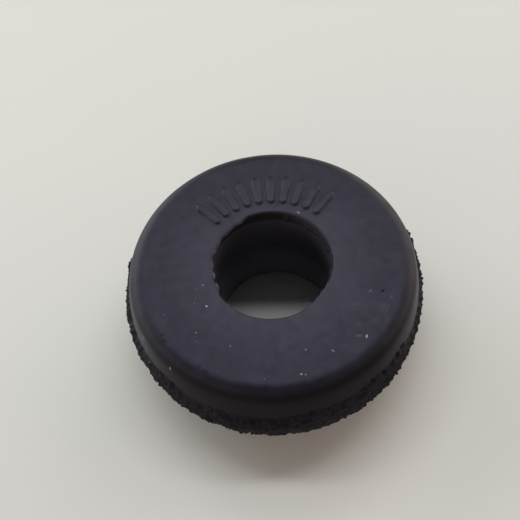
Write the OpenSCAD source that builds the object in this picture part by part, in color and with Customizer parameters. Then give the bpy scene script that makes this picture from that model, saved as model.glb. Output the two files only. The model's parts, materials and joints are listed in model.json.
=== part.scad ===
// Sway bar link bushing: one moulded rubber ring with flat end faces, an upright wall with
// rounded edges, a straight bore, and a torn band of moulding flash round its middle.
// Lengths are in millimetres. It stands on its lower end face, with the bore along Z.

/* [Body] */
// Diameter of the smooth wall where it is fullest, at the flash
wall_d = 30.8; // [28:0.1:44]
// Height from end face to end face
body_h = 13; // [11.5:0.1:22]
// Width of the ring in which the upper face turns over into the wall
upper_edge_w = 2.1; // [1.4:0.1:3.2]
// Radius of the edge at the rim of the upper face
upper_edge_r = 1.8; // [0.5:0.1:2]
// Angle in degrees by which the wall leans in below the flash
lower_draft = 30; // [0:1:36]
// Radius of the fuller edge that joins the lower face to the wall
lower_edge_r = 5.5; // [1:0.1:6]

/* [Bore] */
// Diameter of the bore that the link bolt's sleeve passes through
bore_d = 12.8; // [8:0.1:16]
// Radius moulded round the bore's lower mouth
lower_mouth_r = 0.6; // [0.2:0.1:1.2]
// Width of the bevel left where the web over the upper mouth was punched out
upper_mouth_bevel = 0.15; // [0.1:0.05:0.8]

/* [Flash band] */
// Height of the torn band at the mould's parting line
band_h = 3; // [1.2:0.1:4]
// How far the middle of the band lies above half height
band_rise = 0.4; // [-1:0.1:1]
// How far the band's fullest lip stands proud of the wall
band_proud = 0.9; // [0.3:0.05:1.2]
// Depth of the deepest bites torn out of the band's edge
tear_depth = 0.28; // [0.05:0.01:0.28]
// Number of ragged lips stacked up the band
lip_count = 4; // [2:1:6]
// Number of corners round each ragged lip
tear_count = 144; // [60:12:240]
// Which tear pattern is drawn
tear_seed = 7; // [1:1:99]

/* [Face ribs] */
// Number of short raised ribs on the upper face
rib_count = 10; // [1:1:12]
// Angle in degrees round the bore, from +X, at which the row of ribs starts
rib_start = 47; // [0:1:90]
// Angle in degrees from the first rib to the last one
rib_sweep = 84; // [60:1:120]
// Distance from the bore to the near ends of the ribs
rib_margin = 1.2; // [0.8:0.1:2]
// Length of a rib, outwards from the bore
rib_len = 3.1; // [1:0.1:3.2]
// Width of a rib
rib_w = 0.7; // [0.4:0.05:0.9]
// How far a rib stands proud of the face
rib_proud = 0.3; // [0.1:0.05:0.6]

/* [Colour] */
// Colour of the rubber
rubber_colour = "#2b2a31"; // [#2b2a31, #1c1c1e, #3a3a3d]

/* [Hidden] */
$fn = 96;

wall_r = wall_d / 2;
bore_r = bore_d / 2;
lip_h = band_h / lip_count;
band_low = (body_h - band_h) / 2 + band_rise;
band_high = band_low + band_h;
upper_wall_h = body_h - band_high;
face_rim_r = wall_r - upper_edge_w;

// The upper round takes up no more than this share of the ring in which the face turns over
upper_r_share = 0.9;
upper_r = min(upper_edge_r, upper_r_share * upper_edge_w);
// Radius of the upper wall's bulge, which leaves the band upright and meets the edge's round smoothly
bulge_r = (upper_edge_w * upper_edge_w + upper_wall_h * upper_wall_h - 2 * upper_wall_h * upper_r)
    / (2 * (upper_edge_w - upper_r));

// The lower face keeps at least this share of the rubber's thickness as a flat ring
lower_ring_share = 0.15;
lower_ring_end = bore_r + lower_mouth_r + lower_ring_share * (wall_r - bore_r);
// The lower round ends at the latest where the band begins, and leaves that ring flat
lower_r = min(
    lower_edge_r,
    band_low / (1 - sin(lower_draft)),
    ((wall_r - lower_ring_end) * cos(lower_draft) - band_low * sin(lower_draft)) / (1 - sin(lower_draft))
);
// Distance from the axis to that round's centre, at which it touches both the face and the wall
lower_centre = wall_r - (lower_r + (band_low - lower_r) * sin(lower_draft)) / cos(lower_draft);

// The band is fullest at its middle: the outermost lips keep this share of its stand-off
edge_lip_share = 0.4;
// Bites come in two sizes, long swells and short nicks, and these shares of the depth add up to 1
swell_share = 0.4;
nick_share = 1 - swell_share;
// Corners that pass in one long swell
swell_step = 6;
// Corners from one lip's start in the pattern to the next one's
lip_stagger = 37;

nicks = rands(0, 1, tear_count, tear_seed);
swells = rands(0, 1, ceil(tear_count / swell_step), tear_seed + lip_stagger);

// A smooth walk round the ring of swells, at any corner number
function swell_at(corner) =
    let (
        place = (corner % tear_count) / tear_count * len(swells),
        first = floor(place),
        share = place - first
    )
    swells[first % len(swells)] * (1 - share) + swells[(first + 1) % len(swells)] * share;

// Share of the full depth that is torn away at one corner of one lip
function torn_share(lip, corner) =
    swell_share * swell_at(corner)
    + nick_share * nicks[(corner + lip * lip_stagger) % tear_count];

// Stand-off of a whole lip before it was torn, fullest half-way up the band
function lip_proud(lip) =
    band_proud * (edge_lip_share + (1 - edge_lip_share) * sin(180 * (lip + 1 / 2) / lip_count));

// Radius of one corner of one lip: bites stop at the smooth wall
function lip_radius(lip, corner) =
    wall_r + max(0, lip_proud(lip) - tear_depth * torn_share(lip, corner));

function lip_outline(lip) = [
    for (corner = [0 : tear_count - 1])
        let (angle = 360 * corner / tear_count)
        lip_radius(lip, corner) * [cos(angle), sin(angle)]
];

// Quarter disc that rounds an edge, standing on the end face at the rim of its flat
module edge_round(radius) {
    intersection() {
        translate([0, radius])
            circle(r = radius);
        square(radius);
    }
}

// Upper wall, from the band to where the bulge meets the edge's round
module upper_bulge() {
    rise_share = (upper_wall_h - upper_r) / (bulge_r - upper_r);

    intersection() {
        translate([wall_r - bulge_r, band_high])
            circle(r = bulge_r);
        translate([face_rim_r, band_high])
            square([upper_edge_w, upper_wall_h - upper_r * (1 - rise_share)]);
    }
}

// Half section of the smooth body, from the bore to the wall
module body_section() {
    face_start = bore_r + lower_mouth_r;

    polygon([
        [bore_r, lower_mouth_r],
        [face_start, lower_mouth_r],
        [face_start, 0],
        [lower_centre, 0],
        [lower_centre + lower_r * cos(lower_draft), lower_r * (1 - sin(lower_draft))],
        [wall_r, band_low],
        [wall_r, band_high],
        [face_rim_r, body_h],
        [bore_r + upper_mouth_bevel, body_h],
        [bore_r, body_h - upper_mouth_bevel]
    ]);

    // Rounds of the lower mouth and of both edges
    translate([face_start, lower_mouth_r])
        circle(r = lower_mouth_r);
    translate([lower_centre, 0])
        edge_round(lower_r);
    translate([face_rim_r, body_h])
        mirror([0, 1])
            edge_round(upper_r);
    upper_bulge();
}

// Torn flash at the parting line: ragged lips, each with its own edge
module flash_band() {
    bore_side = bore_r + lower_mouth_r;

    difference() {
        for (lip = [0 : lip_count - 1])
            translate([0, 0, band_low + lip * lip_h])
                linear_extrude(lip_h)
                    polygon(lip_outline(lip));
        translate([0, 0, band_low - lip_h])
            cylinder(r = (bore_side + wall_r) / 2, h = band_h + 2 * lip_h);
    }
}

// Row of short ribs on the upper face, each rooted as deep as it stands proud
module face_ribs() {
    round_r = rib_w / 2;
    inner_end = bore_r + rib_margin + round_r;
    straight_len = rib_len - rib_w;

    for (rib = [0 : rib_count - 1])
        rotate(rib_start + rib_sweep * rib / max(1, rib_count - 1))
            translate([inner_end, 0, body_h - rib_proud])
                linear_extrude(2 * rib_proud) {
                    translate([0, -round_r])
                        square([straight_len, rib_w]);
                    circle(r = round_r);
                    translate([straight_len, 0])
                        circle(r = round_r);
                }
}

module bushing() {
    color(rubber_colour) {
        rotate_extrude()
            body_section();
        flash_band();
        face_ribs();
    }
}

bushing();
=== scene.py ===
import json
import math

import bpy
from mathutils import Matrix, Vector, noise


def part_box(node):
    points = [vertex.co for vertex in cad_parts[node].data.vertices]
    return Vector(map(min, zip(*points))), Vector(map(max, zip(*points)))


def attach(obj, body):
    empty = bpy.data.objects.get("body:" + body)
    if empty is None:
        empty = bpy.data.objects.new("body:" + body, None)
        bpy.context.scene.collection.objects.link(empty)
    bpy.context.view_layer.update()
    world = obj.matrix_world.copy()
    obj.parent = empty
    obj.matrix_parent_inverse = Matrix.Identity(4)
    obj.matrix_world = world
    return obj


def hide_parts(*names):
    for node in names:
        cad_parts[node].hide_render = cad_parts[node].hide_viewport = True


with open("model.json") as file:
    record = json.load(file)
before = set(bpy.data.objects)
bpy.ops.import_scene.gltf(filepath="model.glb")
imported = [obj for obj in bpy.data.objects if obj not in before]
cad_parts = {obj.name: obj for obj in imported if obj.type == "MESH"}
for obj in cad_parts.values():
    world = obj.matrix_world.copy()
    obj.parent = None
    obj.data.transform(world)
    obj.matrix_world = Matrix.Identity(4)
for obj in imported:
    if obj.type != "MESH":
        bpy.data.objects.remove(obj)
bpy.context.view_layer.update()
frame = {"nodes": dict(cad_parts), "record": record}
mm = 0.001
print("frame loaded:", ", ".join(frame["nodes"]))

# height, bore and the flash's reach come from the frame, in mm
boxLow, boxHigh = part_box("bushing")
mounts = {mount["name"]: mount for mount in frame["record"]["mounts"]}
faceHeight = mounts["upper_face"]["pos_m"][2] / mm
boreRadius = mounts["bore"]["dims"]["r_mm"]
flashReach = min(boxHigh.x, boxHigh.y, -boxLow.x, -boxLow.y) / mm

hair = 1e-6                     # lengths closer than this are alike, in mm
seedShift = (1.0, 0.37, -1.7)   # how far a seed moves the noise along each axis


def smoothStep(low, high, value):
    share = min(1.0, max(0.0, (value - low) / (high - low)))
    return share * share * (3 - 2 * share)


def angleGap(angle, centre):
    return (angle - centre + 180) % 360 - 180


def arcShare(angle, start, end, fade):
    # 1 well inside the arc, half at either end, 0 from a fade past it
    half = (end - start) / 2
    return smoothStep(half + fade, half - fade, abs(angleGap(angle, (start + end) / 2)))


def ripple(point, pitch, seed):
    # smooth random swell, about -1 to 1, one swell per pitch
    return noise.noise(Vector(point) / pitch + Vector([seed * shift for shift in seedShift]))


# bushing body, lengths in mm
bushingShape = {
    "wallRadius": 15.4,      # at the edges of the flash
    "upperEdgeWidth": 2.1,   # ring in which the upper face turns over into the wall
    "upperEdgeRadius": 1.8,
    "lowerDraft": 30.0,      # degrees that the wall leans in below the flash
    "lowerEdgeRadius": 5.5,
    "lowerMouthRadius": 0.6,
    "upperMouthBevel": 0.15,
    "crease": 0.03,          # rings this close keep an edge crisp
    "columns": 715,          # mesh columns round the bore
    "rings": {               # mesh rings along each stretch of the section
        "bore": 7, "collar": 13, "crease": 1, "bevel": 2, "innerFace": 6, "ribEnd": 6, "ribMiddle": 6,
        "outerFace": 4, "upperEdge": 9, "upperWall": 17, "flash": 40, "lowerWall": 3, "lowerEdge": 11,
        "lowerFace": 3, "lowerMouth": 4,
    },
    "swell": (0.03, 5.0, 23),          # slow swell of the moulded skin: rise, pitch, seed
    "swellFade": 3.0,        # distance from the bore and from the foot over which it grows
    "flashDepth": 1.0,       # rings this close to the wall's radius may carry the flash
    "dullArc": (206.0, 330.0, 28.0),   # where the wall is rubbed dull, degrees: start, end, fade
    "wallTilt": (0.93, 0.62),          # upward share of the normal where the face ends, and on the wall
    "wallFrom": (0.5, 1.5),  # distance from the bore over which rings begin to count as wall
    "boreWidth": 0.1,        # distance from the bore up to which a ring counts as bore
    "boreFrom": (0.1, 0.3),  # depth below the face over which the bore's finish begins
}


def straightRun(start, end, steps):
    # points from start up to, but not at, the end
    return [
        (start[0] + (end[0] - start[0]) * step / steps, start[1] + (end[1] - start[1]) * step / steps)
        for step in range(steps)
    ]


def roundRun(centre, radius, fromAngle, toAngle, steps):
    run = []
    for step in range(steps):
        angle = math.radians(fromAngle + (toAngle - fromAngle) * step / steps)
        run.append((centre[0] + radius * math.cos(angle), centre[1] + radius * math.sin(angle)))
    return run


def bushingSection():
    # closed loop of (radius, height), up the bore, over the face and down the outside
    spec = bushingShape
    rings = spec["rings"]
    wall = spec["wallRadius"]
    rimWidth = spec["upperEdgeWidth"]
    upper = spec["upperEdgeRadius"]
    lower = spec["lowerEdgeRadius"]
    mouth = spec["lowerMouthRadius"]
    bevel = spec["upperMouthBevel"]
    crease = spec["crease"]
    boreTop = faceHeight - bevel
    mouthRim = boreRadius + bevel
    bandLow = (faceHeight - tornFlash["height"]) / 2 + tornFlash["rise"]
    bandHigh = bandLow + tornFlash["height"]
    collarLow = faceHeight - punchedCollar["depth"]
    ribLow = faceRibs["inner"] - faceRibs["draft"]
    ribHigh = faceRibs["outer"] + faceRibs["draft"]
    ribEnd = faceRibs["draft"] + faceRibs["width"] / 2

    # the upper wall bulges on one arc, which meets the edge's round without a crease
    rise = faceHeight - bandHigh
    faceRim = wall - rimWidth
    bulge = (rimWidth ** 2 + rise ** 2 - 2 * rise * upper) / (2 * (rimWidth - upper))
    meet = math.degrees(math.asin((rise - upper) / (bulge - upper)))

    # the lower wall leans in and ends in a fuller round
    lean = math.radians(spec["lowerDraft"])
    lowerCentre = wall - (lower + (bandLow - lower) * math.sin(lean)) / math.cos(lean)
    wallFoot = (lowerCentre + lower * math.cos(lean), lower - lower * math.sin(lean))

    # bore and upper mouth
    loop = straightRun((boreRadius, mouth), (boreRadius, collarLow), rings["bore"])
    loop += straightRun((boreRadius, collarLow), (boreRadius, boreTop - crease), rings["collar"])
    loop += straightRun((boreRadius, boreTop - crease), (boreRadius, boreTop), rings["crease"])
    loop += straightRun((boreRadius, boreTop), (mouthRim, faceHeight), rings["bevel"])
    loop += straightRun((mouthRim, faceHeight), (mouthRim + crease, faceHeight), rings["crease"])

    # upper face, with closer rings at the ends of the ribs
    loop += straightRun((mouthRim + crease, faceHeight), (ribLow, faceHeight), rings["innerFace"])
    loop += straightRun((ribLow, faceHeight), (ribLow + ribEnd, faceHeight), rings["ribEnd"])
    loop += straightRun((ribLow + ribEnd, faceHeight), (ribHigh - ribEnd, faceHeight), rings["ribMiddle"])
    loop += straightRun((ribHigh - ribEnd, faceHeight), (ribHigh, faceHeight), rings["ribEnd"])
    loop += straightRun((ribHigh, faceHeight), (faceRim, faceHeight), rings["outerFace"])

    # outside and lower face
    loop += roundRun((faceRim, faceHeight - upper), upper, 90, meet, rings["upperEdge"])
    loop += roundRun((wall - bulge, bandHigh), bulge, meet, 0, rings["upperWall"])
    loop += straightRun((wall, bandHigh), (wall, bandLow), rings["flash"])
    loop += straightRun((wall, bandLow), wallFoot, rings["lowerWall"])
    loop += roundRun((lowerCentre, lower), lower, -spec["lowerDraft"], -90, rings["lowerEdge"])
    loop += straightRun((lowerCentre, 0), (boreRadius + mouth, 0), rings["lowerFace"])
    loop += roundRun((boreRadius + mouth, mouth), mouth, -90, -180, rings["lowerMouth"])
    return loop


def sectionNormals(loop):
    normals = []
    for index in range(len(loop)):
        before = loop[index - 1]
        after = loop[(index + 1) % len(loop)]
        along = Vector((after[0] - before[0], after[1] - before[1])).normalized()
        normals.append((-along.y, along.x))
    return normals


# torn flash round the middle, lengths in mm, angles in degrees round the bore
tornFlash = {
    "height": 3.0,
    "rise": 0.4,             # of its middle above half height
    "proud": 0.72,           # mean stand-off at mid height
    "upperShare": 0.85,      # share of it that is left at the band's upper edge
    "lowerShare": 0.62,
    "edgeWander": 0.6,       # how far the edges stray up and down
    "longWander": (0.7, 1.4, 3),       # long swells of that: share, pitch, seed
    "fineWander": ((0.8, 0.5, 5), (0.6, 0.28, 31)),
    "wanderReach": 2,        # about what these shares add up to
    "upperLayer": 40.0,      # keeps the upper edge's long swells apart from the lower edge's
    "uneven": (              # arcs: start, end, fade, change of stand-off, rise of the upper edge
        (6, 34, 8, 0.08, 1.1),
        (154, 170, 7, 0.08, 0.9),
        (200, 232, 10, -0.13, 0.0),
        (212, 226, 6, 0.0, 0.35),
        (250, 278, 8, 0.13, 0.0),
        (274, 284, 4, 0.0, 0.4),
        (300, 326, 8, 0.0, 0.8),
        (312, 352, 12, -0.2, 0.0),
    ),
    "calm": 0.45,            # share of the raggedness that is missing on the next arc
    "calmArc": (266.0, 302.0, 6.0),
    "softArc": (222.0, 318.0, 16.0),   # where the band rises gently from the wall
    "soften": 0.3,           # share of the stand-off that its upper edge lacks there
    "crumb": (0.24, 0.5, 7),           # torn crumbs: rise, pitch, seed
    "grain": (0.16, 0.27, 11),         # finer crumbs on those
    "crack": 0.35,           # width of the cracks between crumbs, as a share of the pitch
    "crumbSpread": 7.3,      # keeps neighbouring crumbs from rising alike
    "bite": (0.6, 0.9, 13),            # torn bites: depth, pitch, seed
    "biteFrom": 0.2,         # swell above which rubber is missing
    "deepest": 0.2,          # how far bites may reach in behind the wall
    "ledge": 0.55,           # height over which the band rises from the wall
    "pits": (                # single bites at the upper edge: angle, height, size
        (337.8, 8.5, 0.45),
        (321.9, 9.6, 0.5),
        (318.0, 9.5, 0.45),
        (309.4, 9.2, 0.45),
        (303.9, 9.4, 0.4),
        (278.5, 9.3, 0.4),
        (222.9, 9.0, 0.45),
        (218.6, 8.9, 0.45),
        (214.4, 8.7, 0.4),
    ),
    "pitDepth": 0.3,
    "pitFloor": 0.3,         # share of a pit's size that has the full depth
    "pitTorn": 0.7,          # share of it that shows torn rubber all over
}


def crumbRise(place, pitch, seed):
    # torn crumbs: a rise of its own for each, about 0 to 1, with cracks between them
    spot = Vector(place) / pitch + Vector((seed, 2 * seed, 3 * seed))
    gaps, centres = noise.voronoi(spot)
    crack = smoothStep(0.0, tornFlash["crack"], gaps[1] - gaps[0])
    return crack * (0.5 + 0.5 * noise.cell(centres[0] * tornFlash["crumbSpread"]))


def flashStandOff(place, angle, height):
    # stand-off of the torn band over the wall, and how torn the rubber is there
    spec = tornFlash
    wall = bushingShape["wallRadius"]
    offset = height - faceHeight / 2 - spec["rise"]
    isUpper = offset > 0

    # height of the ragged edge above or below the band's middle
    share, pitch, seed = spec["longWander"]
    around = (place[0], place[1], spec["upperLayer"] if isUpper else 0.0)
    stray = share * ripple(around, pitch, seed)
    for share, pitch, seed in spec["fineWander"]:
        stray += share * ripple(place, pitch, seed)
    half = spec["height"] / 2 + spec["edgeWander"] * stray
    fuller = 0.0
    for start, end, fade, standOffChange, climb in spec["uneven"]:
        share = arcShare(angle, start, end, fade)
        fuller += share * standOffChange
        if isUpper:
            half += share * climb

    ragged = 1 - spec["calm"] * arcShare(angle, *spec["calmArc"])
    soft = arcShare(angle, *spec["softArc"])
    ledge = spec["ledge"] * (1 + soft)
    cover = smoothStep(half + ledge / 2, half - ledge / 2, abs(offset))
    standOff = 0.0
    if cover > 0:
        crown = math.cos(math.pi / 2 * min(1.0, abs(offset) / half))
        edge = spec["upperShare"] - spec["soften"] * soft if isUpper else spec["lowerShare"]
        standOff = (spec["proud"] + fuller) * (edge + (1 - edge) * crown)
        for rise, pitch, seed in (spec["crumb"], spec["grain"]):
            standOff += ragged * rise * (crumbRise(place, pitch, seed) - 0.5)
        depth, pitch, seed = spec["bite"]
        standOff -= ragged * depth * max(0.0, ripple(place, pitch, seed) - spec["biteFrom"])
        standOff = cover * min(flashReach - wall, max(-spec["deepest"], standOff))
    for pitAngle, pitHeight, pitSize in spec["pits"]:
        across = math.radians(angleGap(angle, pitAngle)) * wall
        gap = math.hypot(across, height - pitHeight) / pitSize
        if gap < 1:
            standOff -= spec["pitDepth"] * smoothStep(1.0, spec["pitFloor"], gap)
            cover = max(cover, smoothStep(1.0, spec["pitTorn"], gap))
    return standOff, cover


# ragged collar left inside the upper mouth, lengths in mm, angles in degrees round the bore
punchedCollar = {
    "depth": 1.7,
    "wholeShare": 0.7,       # upper share of that depth where the collar is whole
    "rough": (0.1, 0.6, 17),           # roughness: rise, pitch, seed
    "calm": 0.3,             # share of the roughness where nothing is left standing
    "lip": 0.46,             # overhang of the torn lips, level with the face
    "lipDepth": 0.6,
    "lipShare": 0.4,         # share of that depth with the full overhang
    "lipSwell": (0.8, 0.5, 0.9, 19),   # what is left of the overhang: mean, swing, pitch, seed
    "lipArc": (112.0, 204.0, 6.0),     # start, end, fade
    "nearLipArc": (294.0, 334.0, 9.0),
    "nearLip": 0.65,         # share of the overhang there
    "ledge": 0.42,           # width of the torn ledge, a little below the face
    "ledgeFrom": 0.1,        # depth at which it starts
    "ledgeDepth": 0.75,      # depth at which it is full
    "ledgeEnd": (2.0, 1.3),  # times that depth, where it has ended and where it starts to end
    "ledgeSwell": (0.8, 0.6, 1.0, 29),
    "ledgeArc": (-32.0, 76.0, 10.0),
    "tornFrom": (0.05, 0.3),           # depth over which the skin gives way to torn rubber
}


def collarReach(place, angle, height):
    # how far the punched collar stands into the bore, and how torn the rubber is there
    spec = punchedCollar
    depth = faceHeight - height
    cover = smoothStep(spec["depth"], spec["wholeShare"] * spec["depth"], depth)
    if cover == 0:
        return 0.0, 0.0
    lip = arcShare(angle, *spec["lipArc"]) + spec["nearLip"] * arcShare(angle, *spec["nearLipArc"])
    lip *= smoothStep(spec["lipDepth"], spec["lipShare"] * spec["lipDepth"], depth)
    ledge = arcShare(angle, *spec["ledgeArc"]) * smoothStep(spec["ledgeFrom"], spec["ledgeDepth"], depth)
    ended, endFrom = [share * spec["ledgeDepth"] for share in spec["ledgeEnd"]]
    ledge *= smoothStep(ended, endFrom, depth)
    calm = spec["calm"] + (1 - spec["calm"]) * max(lip, ledge)
    rise, pitch, seed = spec["rough"]
    reach = rise * calm * ripple(place, pitch, seed)
    mean, swing, pitch, seed = spec["lipSwell"]
    reach += spec["lip"] * lip * (mean + swing * ripple(place, pitch, seed))
    mean, swing, pitch, seed = spec["ledgeSwell"]
    reach += spec["ledge"] * ledge * (mean + swing * ripple(place, pitch, seed))
    return cover * reach, cover * smoothStep(*spec["tornFrom"], depth)


# short raised ribs moulded on the upper face, lengths in mm
faceRibs = {
    "count": 10,
    "from": 47.0,            # degrees round the bore
    "to": 131.0,
    "inner": 7.6,
    "outer": 10.7,
    "width": 0.7,
    "proud": 0.3,
    "draft": 0.08,
    "nearby": 0.2,           # radians beyond which a rib is too far off to matter
}


def ribRise(angle, radius):
    spec = faceRibs
    half = spec["width"] / 2
    rise = 0.0
    for index in range(spec["count"]):
        centre = spec["from"] + (spec["to"] - spec["from"]) * index / (spec["count"] - 1)
        gap = math.radians(angleGap(angle, centre))
        if abs(gap) > spec["nearby"]:
            continue
        along = radius * math.cos(gap)
        across = radius * math.sin(gap)
        nearest = min(spec["outer"] - half, max(spec["inner"] + half, along))
        edge = math.hypot(along - nearest, across) - half
        rise = max(rise, spec["proud"] * smoothStep(spec["draft"], 0.0, edge))
    return rise


def ringSets(loop):
    # numbers of the rings that the mouth's collar and the flash may move
    mouthEnd = boreRadius + bushingShape["upperMouthBevel"] + hair
    flashFrom = bushingShape["wallRadius"] - bushingShape["flashDepth"]
    flashMiddle = faceHeight / 2 + tornFlash["rise"]
    highestClimb = max(climb for *_, climb in tornFlash["uneven"])
    wander = tornFlash["edgeWander"] * tornFlash["wanderReach"]
    nearFlash = tornFlash["height"] / 2 + wander + highestClimb
    mouth = set()
    outside = set()
    for ring, (radius, height) in enumerate(loop):
        if radius < mouthEnd and height > faceHeight / 2:
            mouth.add(ring)
        if radius > flashFrom and abs(height - flashMiddle) < nearFlash:
            outside.add(ring)
    return mouth, outside


def ringFinishes(loop, normals):
    # share of each ring that is outer wall, and share that is bore
    spec = bushingShape
    onWall = []
    inBore = []
    for (radius, height), (_, upward) in zip(loop, normals):
        fromBore = radius - boreRadius
        onWall.append(smoothStep(*spec["wallTilt"], upward) * smoothStep(*spec["wallFrom"], fromBore))
        isBore = smoothStep(spec["boreWidth"], 0.0, fromBore)
        inBore.append(isBore * smoothStep(*spec["boreFrom"], faceHeight - height))
    return onWall, inBore


def buildBushing():
    loop = bushingSection()
    normals = sectionNormals(loop)
    mouth, outside = ringSets(loop)
    onWall, inBore = ringFinishes(loop, normals)
    rings = len(loop)
    columns = bushingShape["columns"]
    swell, swellPitch, swellSeed = bushingShape["swell"]
    swellFade = bushingShape["swellFade"]
    verts = []
    torn = []
    dull = []
    for column in range(columns):
        angle = 360 * column / columns
        rubbed = arcShare(angle, *bushingShape["dullArc"])
        dull += [rubbed * share for share in onWall]
        turn = math.radians(angle)
        cosTurn = math.cos(turn)
        sinTurn = math.sin(turn)
        for ring, (radius, height) in enumerate(loop):
            outward, upward = normals[ring]
            place = Vector((radius * cosTurn, radius * sinTurn, height))
            push = swell * (ripple(place, swellPitch, swellSeed) - 1) / 2
            push *= smoothStep(0.0, swellFade, radius - boreRadius) * smoothStep(0.0, swellFade, height)
            share = 0.0
            lift = 0.0
            if ring in outside:
                standOff, share = flashStandOff(place, angle, height)
                push += standOff
            elif ring in mouth:
                reach, share = collarReach(place, angle, height)
                radius -= reach
            elif height > faceHeight - hair:
                lift = ribRise(angle, radius)
            radius += push * outward
            height += push * upward + lift
            verts.append((radius * cosTurn * mm, radius * sinTurn * mm, height * mm))
            torn.append(share)
    faces = []
    for column in range(columns):
        here = column * rings
        there = ((column + 1) % columns) * rings
        for ring in range(rings):
            after = (ring + 1) % rings
            faces.append((here + ring, here + after, there + after, there + ring))
    mesh = bpy.data.meshes.new("moulded_bushing")
    mesh.from_pydata(verts, [], faces)
    for name, shares in (("torn", torn), ("bore", inBore * columns), ("wall", dull)):
        mesh.attributes.new(name, "FLOAT", "POINT").data.foreach_set("value", shares)
    mesh.polygons.foreach_set("use_smooth", [True] * len(faces))
    mesh.update()
    piece = bpy.data.objects.new("moulded_bushing", mesh)
    bpy.context.scene.collection.objects.link(piece)
    print("bushing mesh:", len(verts), "points,", rings, "rings")
    return piece


def addNode(tree, kind, inputs=None, **settings):
    node = tree.nodes.new(kind)
    for name, value in settings.items():
        setattr(node, name, value)
    for socket, value in (inputs or {}).items():
        if isinstance(value, bpy.types.NodeSocket):
            tree.links.new(value, node.inputs[socket])
        else:
            node.inputs[socket].default_value = value
    return node


def freshMaterial(name):
    material = bpy.data.materials.new(name)
    material.use_nodes = True
    tree = material.node_tree
    tree.nodes.clear()
    output = addNode(tree, "ShaderNodeOutputMaterial")
    return material, tree, output


# rubber finish, lengths in mm, noise scales per metre
rubberFinish = {
    "skin": (0.0085, 0.008, 0.0125),
    "skinWorn": (0.012, 0.0115, 0.0165),
    "bloom": (0.024, 0.023, 0.031),       # pale haze round the bore
    "bloomRadius": (6.8, 11.5),
    "wall": (0.0085, 0.0082, 0.010),      # rubbed dull
    "torn": (0.0158, 0.015, 0.0188),
    "boreMouth": (0.045, 0.043, 0.055),
    "boreFoot": (0.19, 0.184, 0.212),     # paler further down: painted light standing in for the light that barely reaches the bore's foot
    "dustHeight": 6.5,                    # up to which that painted light reaches
    "dust": (0.42, 0.42, 0.43),
    "shade": (0.002, 0.002, 0.002),
    "faceRoughness": (0.45, 0.52),
    "wallRoughness": 0.55,
    "tornRoughness": 0.75,
    "boreRoughness": 0.8,
    "specular": (0.27, 0.37),
    "wallSpecular": 0.07,
    "tornSpecular": 0.18,
    "specularTint": (0.75, 0.70, 1.0),
    "bloomSheen": 0.08,
    "sheenRoughness": 0.3,
    "cloud": {"Scale": 180, "Detail": 5, "Roughness": 0.6},
    "cloudWorn": (0.35, 0.7),             # cloud over which the skin turns worn
    "mottle": {"Scale": 900, "Detail": 3},
    "noiseSpan": (0.3, 0.7),              # most of what cloud and mottle give
    "grain": {"Scale": 2600, "Detail": 3},
    "grainBump": (0.12, 0.08),            # strength and height
    "crumbs": {"Scale": 3200, "Detail": 4, "Roughness": 0.7},
    "crumbHeight": 0.2,
    "drift": {"Scale": 9000, "Detail": 1},
    "driftReach": 0.12,                   # how far it frays the marks below
    "markEdge": (0.5, 1.2),               # where a mark starts to fade and ends, in half widths
}

# dust specks and rub marks, in mm: radius, degrees round the bore, height, length, width, turn, strength
lightMarks = (
    (8.09, 210.5, 13.0, 0.24, 0.22, 0, 0.90),
    (7.33, 192.7, 13.0, 0.26, 0.18, 60, 0.25),
    (8.18, 194.2, 13.0, 0.22, 0.16, 60, 0.10),
    (8.56, 201.0, 13.0, 0.16, 0.30, 0, 0.08),
    (8.92, 203.8, 13.0, 0.16, 0.30, 0, 0.10),
    (12.13, 201.9, 13.0, 0.22, 0.18, 90, 0.12),
    (10.76, 220.2, 13.0, 0.18, 0.24, 0, 0.26),
    (11.46, 223.7, 13.0, 0.24, 0.20, 0, 0.06),
    (14.90, 221.8, 12.0, 0.12, 0.20, 0, 0.75),
    (15.03, 203.6, 11.7, 0.30, 0.80, 40, 0.10),
    (15.48, 209.0, 8.6, 0.20, 0.20, 0, 0.22),
    (10.10, 240.8, 13.0, 0.18, 0.24, 0, 0.20),
    (10.45, 283.0, 13.0, 0.24, 0.24, 0, 0.20),
    (11.74, 295.1, 13.0, 0.36, 0.16, 120, 0.40),
    (12.79, 277.2, 13.0, 0.28, 0.22, 0, 0.45),
    (12.94, 279.0, 13.0, 0.24, 0.20, 0, 0.22),
    (12.70, 311.6, 13.0, 0.20, 0.42, 160, 0.75),
    (12.10, 309.5, 13.0, 0.80, 0.28, 0, 0.09),
    (10.62, 334.9, 13.0, 0.36, 0.18, 0, 0.16),
    (6.95, 58.8, 13.0, 0.46, 0.16, 145, 0.55),
    (12.88, 261.3, 13.0, 0.24, 0.16, 0, 0.10),
    # scuffed patch at the near right
    (12.50, 327.6, 13.0, 1.60, 1.10, 70, 0.020),
    (12.30, 320.8, 13.0, 1.30, 0.70, 20, 0.014),
    (10.90, 322.0, 13.0, 1.40, 0.90, 80, 0.010),
    (13.40, 323.6, 13.0, 0.80, 0.60, 40, 0.018),
    (11.30, 314.6, 13.0, 1.20, 0.80, 0, 0.012),
    (9.80, 323.3, 13.0, 0.90, 0.16, 0, 0.030),
    (12.89, 330.2, 13.0, 0.26, 0.22, 0, 0.06),
    (12.83, 334.7, 13.0, 0.20, 0.20, 0, 0.09),
    (11.75, 320.9, 13.0, 0.34, 0.24, 0, 0.035),
    (10.86, 325.7, 13.0, 0.30, 0.24, 0, 0.035),
    (11.39, 314.4, 13.0, 0.36, 0.26, 0, 0.045),
    # fibre on the torn lip
    (5.95, 190.0, 12.7, 0.10, 1.90, 8, 0.30),
)
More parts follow.
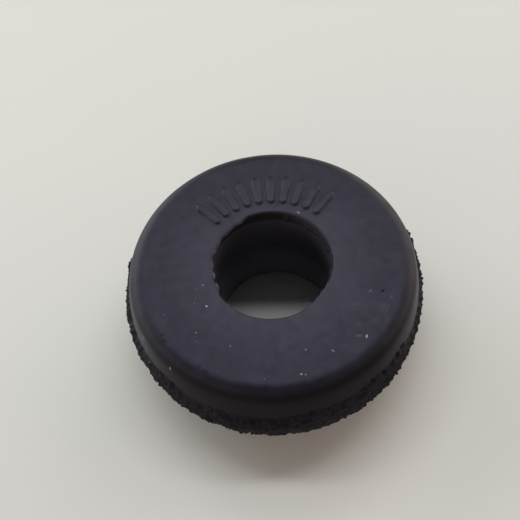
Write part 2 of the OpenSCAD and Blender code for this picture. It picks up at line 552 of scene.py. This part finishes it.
# nicks and dents, painted as dark shade with no gloss instead of being cut into the surface
darkMarks = (
    (11.82, 336.8, 13.0, 0.42, 0.20, 30, 1.0),
    (13.39, 210.2, 12.99, 0.70, 0.26, 165, 0.5),
    (13.60, 213.0, 12.97, 0.60, 0.24, 165, 0.4),
    (13.41, 232.5, 12.99, 0.60, 0.50, 0, 0.3),
    (13.57, 236.2, 12.97, 0.70, 0.50, 0, 0.3),
)


def ramp(tree, value, span, fromShare, toShare):
    # from one share to the other while the value crosses the span
    low, high = span
    inputs = {"Value": value, "From Min": low, "From Max": high, "To Min": fromShare, "To Max": toShare}
    return addNode(tree, "ShaderNodeMapRange", inputs).outputs[0]


def blend(tree, share, under, over):
    # one colour over another
    inputs = {0: share}
    for socket, value in ((6, under), (7, over)):
        inputs[socket] = value if isinstance(value, bpy.types.NodeSocket) else (*value, 1)
    return addNode(tree, "ShaderNodeMix", inputs, data_type="RGBA").outputs[2]


def level(tree, share, under, over):
    # one amount over another
    return addNode(tree, "ShaderNodeMix", {0: share, 2: under, 3: over}, data_type="FLOAT").outputs[0]


def markShare(tree, coords, marks):
    # where the marks lie on the skin, each a small oval with its own strength
    total = None
    for radius, angle, height, length, width, turn, strength in marks:
        spot = math.radians(angle)
        oval = addNode(
            tree, "ShaderNodeMapping",
            {"Vector": coords,
             "Location": (radius * math.cos(spot) * mm, radius * math.sin(spot) * mm, height * mm),
             "Rotation": (0, 0, math.radians(turn)),
             "Scale": (length / 2 * mm, width / 2 * mm, mm)},
            vector_type="TEXTURE",
        )
        gap = addNode(tree, "ShaderNodeVectorMath", {0: oval.outputs[0]}, operation="LENGTH")
        share = ramp(tree, gap.outputs["Value"], rubberFinish["markEdge"], strength, 0.0)
        if total is None:
            total = share
        else:
            total = addNode(tree, "ShaderNodeMath", {0: total, 1: share}, operation="MAXIMUM").outputs[0]
    return total


def rubberMaterial():
    spec = rubberFinish
    material, tree, output = freshMaterial("satin_rubber")
    coords = addNode(tree, "ShaderNodeTexCoord").outputs["Object"]
    torn, bore, wall = [
        addNode(tree, "ShaderNodeAttribute", attribute_name=name).outputs["Fac"]
        for name in ("torn", "bore", "wall")
    ]
    cloud, mottle, grain, crumbs, drift = [
        addNode(tree, "ShaderNodeTexNoise", {"Vector": coords, **spec[name]}).outputs
        for name in ("cloud", "mottle", "grain", "crumbs", "drift")
    ]

    # skin, clouded, with a pale haze towards the bore
    flat = addNode(tree, "ShaderNodeVectorMath", {0: coords, 1: (1, 1, 0)}, operation="MULTIPLY")
    reach = addNode(tree, "ShaderNodeVectorMath", {0: flat.outputs[0]}, operation="LENGTH")
    haze = ramp(tree, reach.outputs["Value"], [radius * mm for radius in spec["bloomRadius"]], 1.0, 0.0)
    worn = ramp(tree, cloud["Fac"], spec["cloudWorn"], 0.0, 1.0)
    colour = blend(tree, worn, spec["skin"], spec["skinWorn"])
    colour = blend(tree, haze, colour, spec["bloom"])

    # rubbed wall, bore paler towards its foot with painted light, torn rubber
    height = addNode(tree, "ShaderNodeSeparateXYZ", {0: coords}).outputs["Z"]
    footLight = ramp(tree, height, (0.0, spec["dustHeight"] * mm), 1.0, 0.0)
    colour = blend(tree, wall, colour, spec["wall"])
    colour = blend(tree, bore, colour, blend(tree, footLight, spec["boreMouth"], spec["boreFoot"]))
    colour = blend(tree, torn, colour, spec["torn"])

    # dust specks, rub marks, and painted shade for nicks, with frayed edges
    fray = (spec["driftReach"] * mm, spec["driftReach"] * mm, 0)
    frayed = addNode(
        tree, "ShaderNodeVectorMath", {0: drift["Color"], 1: fray, 2: coords}, operation="MULTIPLY_ADD"
    ).outputs[0]
    nickShade = markShare(tree, frayed, darkMarks)
    colour = blend(tree, markShare(tree, frayed, lightMarks), colour, spec["dust"])
    colour = blend(tree, nickShade, colour, spec["shade"])

    # gloss
    rough = ramp(tree, cloud["Fac"], spec["noiseSpan"], *spec["faceRoughness"])
    rough = level(tree, wall, rough, spec["wallRoughness"])
    rough = level(tree, bore, rough, spec["boreRoughness"])
    rough = level(tree, torn, rough, spec["tornRoughness"])
    gloss = ramp(tree, mottle["Fac"], spec["noiseSpan"], *spec["specular"])
    gloss = level(tree, wall, gloss, spec["wallSpecular"])
    gloss = level(tree, torn, gloss, spec["tornSpecular"])
    gloss = level(tree, nickShade, gloss, 0.0)

    # fine relief
    strength, rise = spec["grainBump"]
    skinBump = addNode(
        tree, "ShaderNodeBump",
        {"Height": grain["Fac"], "Strength": strength, "Distance": rise * mm},
    )
    tornBump = addNode(
        tree, "ShaderNodeBump",
        {"Height": crumbs["Fac"], "Strength": torn, "Distance": spec["crumbHeight"] * mm,
         "Normal": skinBump.outputs[0]},
    )
    shader = addNode(
        tree, "ShaderNodeBsdfPrincipled",
        {"Base Color": colour, "Roughness": rough,
         "Specular IOR Level": gloss, "Specular Tint": (*spec["specularTint"], 1),
         "Sheen Weight": level(tree, torn, spec["bloomSheen"], 0.0),
         "Sheen Roughness": spec["sheenRoughness"],
         "Normal": tornBump.outputs[0]},
    )
    tree.links.new(shader.outputs[0], output.inputs["Surface"])
    return material


bushing = buildBushing()
bushing.data.materials.append(rubberMaterial())
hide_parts("bushing")
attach(bushing, "root")

# pale table that the bushing stands on, in metres
paleTable = {
    "size": 3.0,
    "colour": (0.695, 0.695, 0.68),
    "roughness": 0.55,
    "specular": 0.2,
}


def buildTable():
    spec = paleTable
    half = spec["size"] / 2
    corners = [(-half, -half, 0), (half, -half, 0), (half, half, 0), (-half, half, 0)]
    mesh = bpy.data.meshes.new("pale_table")
    mesh.from_pydata(corners, [], [(0, 1, 2, 3)])
    table = bpy.data.objects.new("pale_table", mesh)
    bpy.context.scene.collection.objects.link(table)
    material, tree, output = freshMaterial("pale_table")
    shader = addNode(
        tree, "ShaderNodeBsdfPrincipled",
        {"Base Color": (*spec["colour"], 1), "Roughness": spec["roughness"],
         "Specular IOR Level": spec["specular"]},
    )
    tree.links.new(shader.outputs[0], output.inputs["Surface"])
    mesh.materials.append(material)
    return table


buildTable()
print("table laid")

# studio light, distance in metres
# each panel: azimuth (0 behind, 90 right), elevation, width and height in degrees, watts, tint
studioLight = {
    "distance": 0.8,
    "panels": {
        "high_tube": (6, 71.5, 60, 6, 2.5, (0.99, 0.99, 1.0)),
        "overhead": (0, 84, 30, 10, 0.05, (1.0, 0.98, 0.97)),
        "high_behind": (0, 54, 30, 14, 0.84, (0.92, 1.0, 0.98)),
        "mid_right": (45, 38, 44, 26, 1.25, (1.0, 0.96, 0.88)),
        "mid_left": (315, 33, 44, 20, 1.45, (0.92, 1.0, 0.96)),
        "low_right": (45, 12, 44, 18, 1.8, (1.0, 0.92, 0.80)),
        "low_left": (315, 12, 44, 18, 2.1, (0.95, 1.0, 0.94)),
        "right_side": (90, 12, 44, 18, 1.95, (1.0, 0.77, 0.61)),
        "left_side": (270, 12, 44, 18, 1.85, (1.0, 0.91, 0.83)),
        "front": (180, 30, 100, 36, 1.42, (1.0, 0.91, 0.86)),
        "front_left": (225, 12, 44, 18, 1.25, (1.0, 0.72, 0.54)),
    },
    "room": (1.0, 0.97, 0.94),
    "roomStrength": 0.045,
}


def addPanel(name, azimuth, elevation, width, height, power, tint):
    turn = math.radians(azimuth)
    rise = math.radians(elevation)
    distance = studioLight["distance"]
    outward = math.cos(rise)
    place = distance * Vector((math.sin(turn) * outward, math.cos(turn) * outward, math.sin(rise)))
    data = bpy.data.lights.new(name, "AREA")
    data.shape = "RECTANGLE"
    data.size = 2 * distance * math.tan(math.radians(width / 2))
    data.size_y = 2 * distance * math.tan(math.radians(height / 2))
    data.energy = power
    data.color = tint
    lamp = bpy.data.objects.new(name, data)
    bpy.context.scene.collection.objects.link(lamp)
    lamp.location = place
    lamp.rotation_euler = (-place).to_track_quat("-Z", "Y").to_euler()
    lamp.visible_camera = False


def lightStudio():
    for name, panel in studioLight["panels"].items():
        addPanel(name, *panel)
    world = bpy.data.worlds.new("dim_room")
    world.use_nodes = True
    ground = world.node_tree.nodes["Background"]
    ground.inputs["Color"].default_value = (*studioLight["room"], 1)
    ground.inputs["Strength"].default_value = studioLight["roomStrength"]
    bpy.context.scene.world = world
    print("studio lit")


lightStudio()

# camera at the photograph's viewing angle, lengths in mm
cameraView = {
    "elevation": 58.4,
    "roll": -6.6,
    "distance": 100.0,
    "aim": (-1.13, 4.18, 7.07),
    "focalPixels": 898,
    "framePixels": 520,
    "sensor": 36.0,
    "clipStart": 10.0,
}


def placeCamera():
    spec = cameraView
    rise = math.radians(spec["elevation"])
    roll = math.radians(spec["roll"])
    back = Vector((0, -math.cos(rise), math.sin(rise)))
    right = Vector((1, 0, 0))
    up = back.cross(right)
    rolledRight = math.cos(roll) * right + math.sin(roll) * up
    rolledUp = -math.sin(roll) * right + math.cos(roll) * up
    data = bpy.data.cameras.new("bench_camera")
    data.sensor_width = spec["sensor"]
    data.lens = spec["sensor"] * spec["focalPixels"] / spec["framePixels"]
    data.clip_start = spec["clipStart"] * mm
    camera = bpy.data.objects.new("bench_camera", data)
    bpy.context.scene.collection.objects.link(camera)
    turn = Matrix((rolledRight, rolledUp, back)).transposed().to_4x4()
    turn.translation = (Vector(spec["aim"]) + spec["distance"] * back) * mm
    camera.matrix_world = turn
    bpy.context.scene.camera = camera
    print("camera placed")


placeCamera()
bpy.context.scene.view_settings.view_transform = "Standard"
